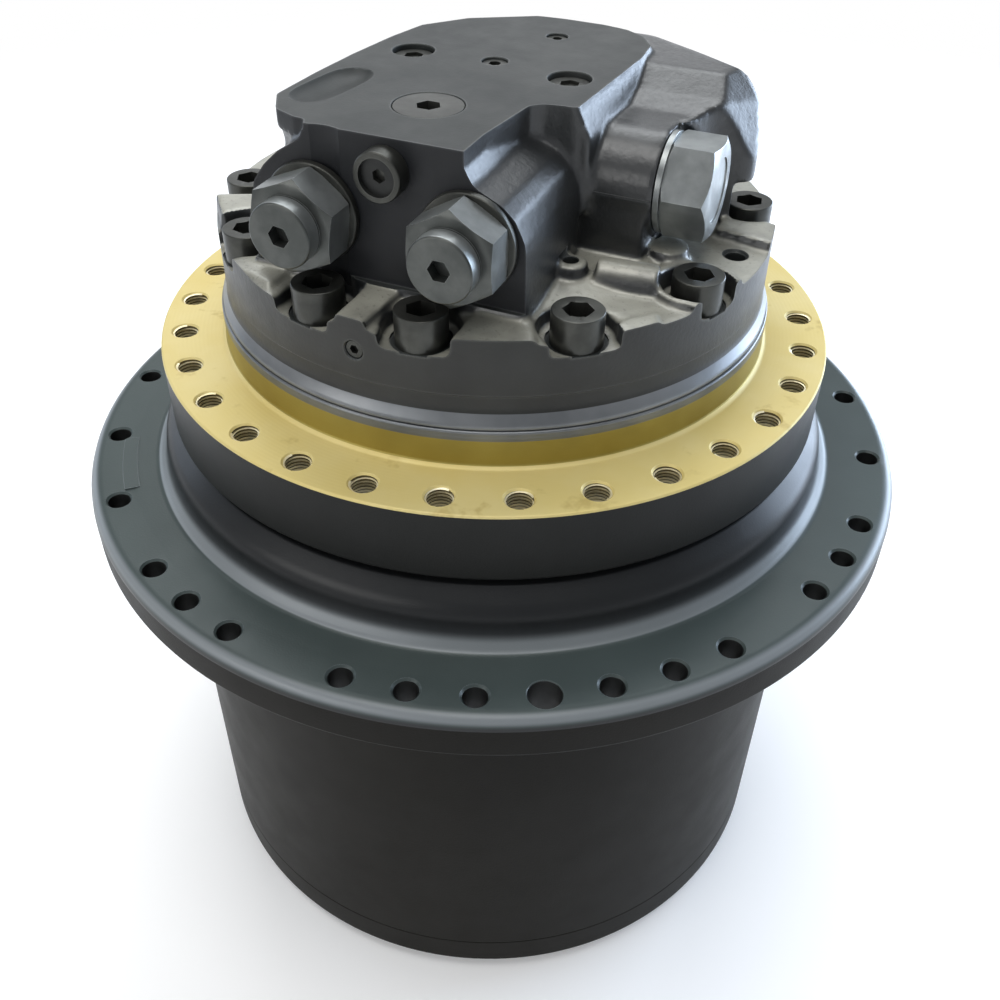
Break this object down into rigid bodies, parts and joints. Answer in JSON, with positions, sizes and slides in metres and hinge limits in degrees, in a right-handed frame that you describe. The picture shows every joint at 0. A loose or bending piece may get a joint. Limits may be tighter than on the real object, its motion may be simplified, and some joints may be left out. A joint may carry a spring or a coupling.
{
  "type": "excavator final drive",
  "caption": "Track final drive: a planetary gearbox in a turning drum with a sprocket flange, a fixed hub with a threaded frame flange, and a hydraulic motor with its valve block on top.",
  "frame": {"origin": "centre of the end cover face that the drive stands on, on the drum axis", "axes": "+Z along the drum axis, from the end cover to the motor; the front of the valve block, with the relief valves, faces -Y"},
  "size_m": [0.524, 0.524, 0.555],
  "materials": {
    "drum_paint": "satin dark paint",
    "zinc_yellow": "machined face, yellow zinc plated",
    "motor_casting": "dark cast iron with machined faces",
    "black_oxide": "black oxide",
    "dark_fitting": "dark phosphate",
    "case_hardened_steel": "ground",
    "ductile_iron": "machined",
    "bearing_steel": "polished",
    "seal_iron": "lapped",
    "shaft_steel": "ground",
    "bronze": "machined bronze",
    "friction_paper": "friction lining on steel"
  },
  "bodies": {
    "hub": {"spindle_hub": "zinc_yellow", "rear_cover": "motor_casting", "cover_screw_01": "black_oxide", "cover_screw_02": "black_oxide", "cover_screw_03": "black_oxide", "cover_screw_04": "black_oxide", "cover_screw_05": "black_oxide", "cover_screw_06": "black_oxide", "cover_screw_07": "black_oxide", "cover_screw_08": "black_oxide", "cover_screw_09": "black_oxide", "cover_screw_10": "black_oxide", "cover_screw_11": "black_oxide", "cover_screw_12": "black_oxide", "relief_valve_left": "dark_fitting", "relief_valve_right": "dark_fitting", "spool_cap_right": "dark_fitting", "spool_cap_left": "dark_fitting", "front_port_plug": "dark_fitting", "flush_port_plug": "dark_fitting", "center_plug": "dark_fitting", "recessed_plug_left": "dark_fitting", "recessed_plug_right": "dark_fitting", "gauge_port_plug": "dark_fitting", "valve_plate": "bronze", "front_shaft_bearing": "bearing_steel", "rear_shaft_bearing": "bearing_steel", "brake_plate": "shaft_steel", "carrier_2": "ductile_iron", "hub_seal_ring": "seal_iron", "lower_bearing_inner": "bearing_steel", "upper_bearing_inner": "bearing_steel", "bearing_nut": "shaft_steel"},
    "drum": {"drum_housing": "drum_paint", "end_cover": "drum_paint", "oil_plug_1": "black_oxide", "oil_plug_2": "black_oxide", "drum_seal_ring": "seal_iron", "lower_bearing_outer": "bearing_steel", "upper_bearing_outer": "bearing_steel"},
    "lower_rollers": {"lower_bearing_rollers": "bearing_steel"},
    "upper_rollers": {"upper_bearing_rollers": "bearing_steel"},
    "first_carrier": {"carrier_1": "ductile_iron", "sun_gear_2": "case_hardened_steel"},
    "shaft": {"motor_shaft": "shaft_steel", "shaft_coupling": "shaft_steel", "sun_gear_1": "case_hardened_steel", "cylinder_block": "shaft_steel", "piston_set": "bronze", "brake_disc": "friction_paper"},
    "swash": {"swash_plate": "shaft_steel"},
    "brake_ring": {"brake_piston": "shaft_steel"},
    "spool": {"counterbalance_spool": "shaft_steel"},
    "planet_1a": {"planet_gear_1a": "case_hardened_steel"},
    "planet_2a": {"planet_gear_2a": "case_hardened_steel"},
    "planet_1b": {"planet_gear_1b": "case_hardened_steel"},
    "planet_2b": {"planet_gear_2b": "case_hardened_steel"},
    "planet_1c": {"planet_gear_1c": "case_hardened_steel"},
    "planet_2c": {"planet_gear_2c": "case_hardened_steel"}
  },
  "joints": [
    {"name": "drum_spin", "type": "hinge", "parent": "hub", "child": "drum", "pos_m": [0, 0, 0], "axis": [0, 0, 1], "continuous": true},
    {"name": "first_carrier_spin", "type": "hinge", "parent": "hub", "child": "first_carrier", "pos_m": [0, 0, 0], "axis": [0, 0, 1], "continuous": true},
    {"name": "shaft_spin", "type": "hinge", "parent": "hub", "child": "shaft", "pos_m": [0, 0, 0], "axis": [0, 0, 1], "continuous": true},
    {"name": "lower_rollers_spin", "type": "hinge", "parent": "hub", "child": "lower_rollers", "pos_m": [0, 0, 0], "axis": [0, 0, 1], "continuous": true},
    {"name": "upper_rollers_spin", "type": "hinge", "parent": "hub", "child": "upper_rollers", "pos_m": [0, 0, 0], "axis": [0, 0, 1], "continuous": true},
    {"name": "planet_2a_spin", "type": "hinge", "parent": "hub", "child": "planet_2a", "pos_m": [0.117, 0, 0.1445], "axis": [0, 0, 1], "continuous": true},
    {"name": "planet_1a_spin", "type": "hinge", "parent": "first_carrier", "child": "planet_1a", "pos_m": [0.108, 0, 0.0615], "axis": [0, 0, 1], "continuous": true},
    {"name": "planet_2b_spin", "type": "hinge", "parent": "hub", "child": "planet_2b", "pos_m": [-0.0585, 0.10132, 0.1445], "axis": [0, 0, 1], "continuous": true},
    {"name": "planet_1b_spin", "type": "hinge", "parent": "first_carrier", "child": "planet_1b", "pos_m": [-0.054, 0.09353, 0.0615], "axis": [0, 0, 1], "continuous": true},
    {"name": "planet_2c_spin", "type": "hinge", "parent": "hub", "child": "planet_2c", "pos_m": [-0.0585, -0.10132, 0.1445], "axis": [0, 0, 1], "continuous": true},
    {"name": "planet_1c_spin", "type": "hinge", "parent": "first_carrier", "child": "planet_1c", "pos_m": [-0.054, -0.09353, 0.0615], "axis": [0, 0, 1], "continuous": true},
    {"name": "swash_tilt", "type": "hinge", "parent": "hub", "child": "swash", "pos_m": [0, 0, 0.2889], "axis": [1, 0, 0], "range_deg": [-7, 0], "stiffness_Nm_per_rad": 40, "springref_deg": 2.86},
    {"name": "brake_release", "type": "slide", "parent": "hub", "child": "brake_ring", "axis": [0, 0, 1], "range_m": [0, 0.0025], "stiffness_N_per_m": 20000, "springref_m": -0.002},
    {"name": "spool_shift", "type": "slide", "parent": "hub", "child": "spool", "axis": [1, 0, 0], "range_m": [-0.005, 0.005], "stiffness_N_per_m": 8000}
  ],
  "couplings": [
    {"joint": "first_carrier_spin", "follows": "drum_spin", "ratio": -3.3333},
    {"joint": "shaft_spin", "follows": "drum_spin", "ratio": -25},
    {"joint": "lower_rollers_spin", "follows": "drum_spin", "ratio": 0.52},
    {"joint": "upper_rollers_spin", "follows": "drum_spin", "ratio": 0.52},
    {"joint": "planet_2a_spin", "follows": "drum_spin", "ratio": 2.8571},
    {"joint": "planet_1a_spin", "follows": "drum_spin", "ratio": 10.833},
    {"joint": "planet_2b_spin", "follows": "drum_spin", "ratio": 2.8571},
    {"joint": "planet_1b_spin", "follows": "drum_spin", "ratio": 10.833},
    {"joint": "planet_2c_spin", "follows": "drum_spin", "ratio": 2.8571},
    {"joint": "planet_1c_spin", "follows": "drum_spin", "ratio": 10.833}
  ]
}
